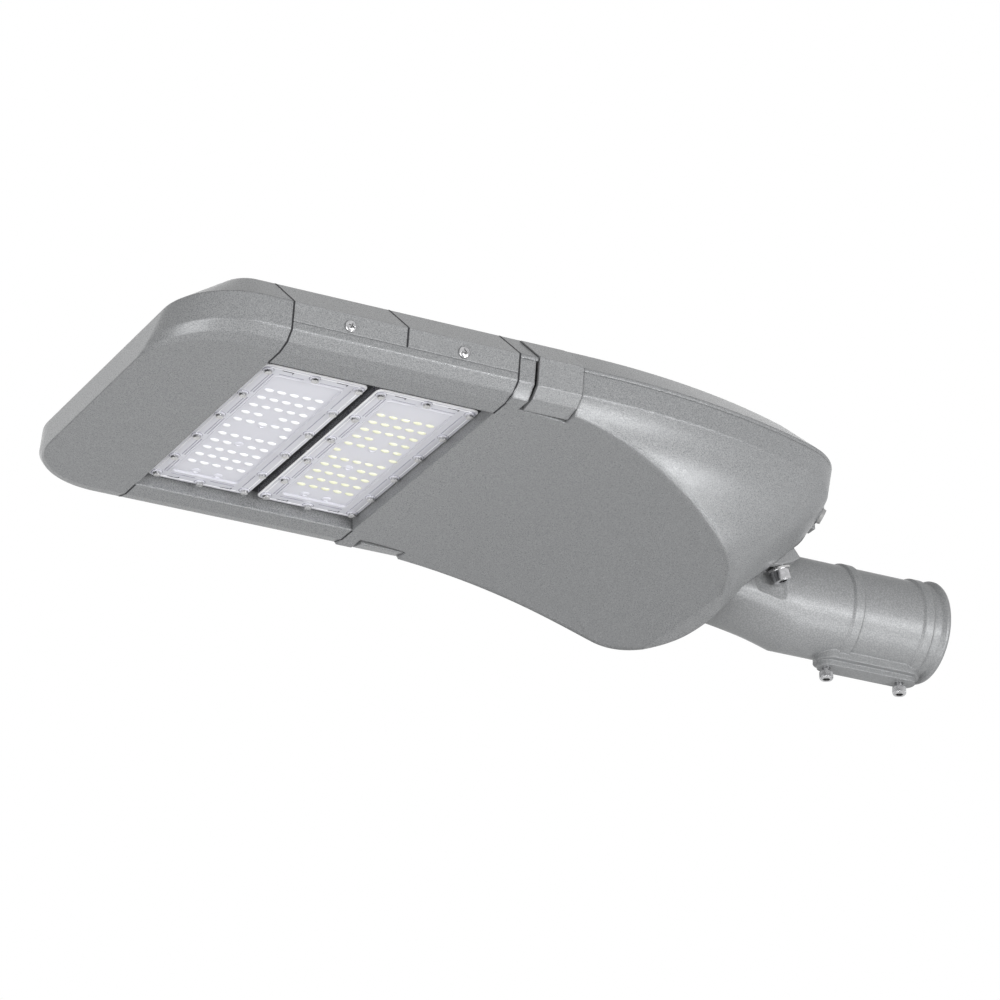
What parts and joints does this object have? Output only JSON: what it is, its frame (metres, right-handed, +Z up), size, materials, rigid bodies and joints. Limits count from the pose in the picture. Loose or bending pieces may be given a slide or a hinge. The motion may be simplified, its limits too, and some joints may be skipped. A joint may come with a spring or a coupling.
{
  "type": "led street light head",
  "caption": "Flat LED street light head with lens modules in a lower window, a deep gear housing with a latched lid, and a tilting pole socket.",
  "frame": {"origin": "centre of the pole socket's mouth, on the socket's axis", "axes": "+X out of the socket's mouth along its axis, +Z up in use, the light shines down along -Z"},
  "size_m": [0.6519, 0.297, 0.1503],
  "materials": {
    "housing_paint": "fine-textured metallic grey powder coat",
    "arm_paint": "smooth metallic grey powder coat",
    "screw_steel": "bright plated steel",
    "bolt_steel": "stainless steel",
    "lens_clear": "clear moulded polycarbonate",
    "board_white": "white solder mask",
    "led_white": "LED package with a pale phosphor",
    "seal_rubber": "soft silicone seal",
    "tray_steel": "zinc-plated sheet",
    "driver_case": "painted case",
    "gear_plastic": "moulded plastic",
    "vent_plastic": "moulded plastic"
  },
  "bodies": {
    "spigot": {"spigot_arm": "arm_paint", "pole_set_screws": "screw_steel"},
    "housing": {"rear_housing": "housing_paint", "nose_cap": "housing_paint", "near_rail": "housing_paint", "far_rail": "housing_paint", "front_heatsink": "housing_paint", "rear_heatsink": "housing_paint", "side_screws": "screw_steel", "tilt_bolts": "screw_steel", "lens_screws_1": "bolt_steel", "lens_screws_2": "bolt_steel", "tilt_washers": "bolt_steel", "lid_hinge_pin": "bolt_steel", "gear_screws": "bolt_steel", "lens_cover_1": "lens_clear", "lens_cover_2": "lens_clear", "led_board_1": "board_white", "led_board_2": "board_white", "led_packages_1": "led_white", "led_packages_2": "led_white", "lens_gasket_1": "seal_rubber", "lens_gasket_2": "seal_rubber", "housing_gasket": "seal_rubber", "gear_tray": "tray_steel", "driver": "driver_case", "surge_protector": "gear_plastic", "terminal_block": "gear_plastic", "cable_clamp": "gear_plastic", "vent_plug": "vent_plastic"},
    "lid": {"lid": "housing_paint", "latch_pins": "bolt_steel"},
    "near_latch": {"near_latch": "housing_paint"},
    "far_latch": {"far_latch": "housing_paint"}
  },
  "joints": [
    {"name": "tilt", "type": "hinge", "parent": "spigot", "child": "housing", "pos_m": [-0.1594, 0, 0.0478], "axis": [0, 1, 0], "range_deg": [0, 15]},
    {"name": "lid_hinge", "type": "hinge", "parent": "housing", "child": "lid", "pos_m": [-0.1064, 0, 0.0653], "axis": [0, 1, 0], "range_deg": [0, 80]},
    {"name": "near_latch_hinge", "type": "hinge", "parent": "lid", "child": "near_latch", "pos_m": [-0.3739, -0.1195, 0.0863], "axis": [-1, 0, 0], "range_deg": [0, 90]},
    {"name": "far_latch_hinge", "type": "hinge", "parent": "lid", "child": "far_latch", "pos_m": [-0.3739, 0.1195, 0.0863], "axis": [1, 0, 0], "range_deg": [0, 90]}
  ]
}
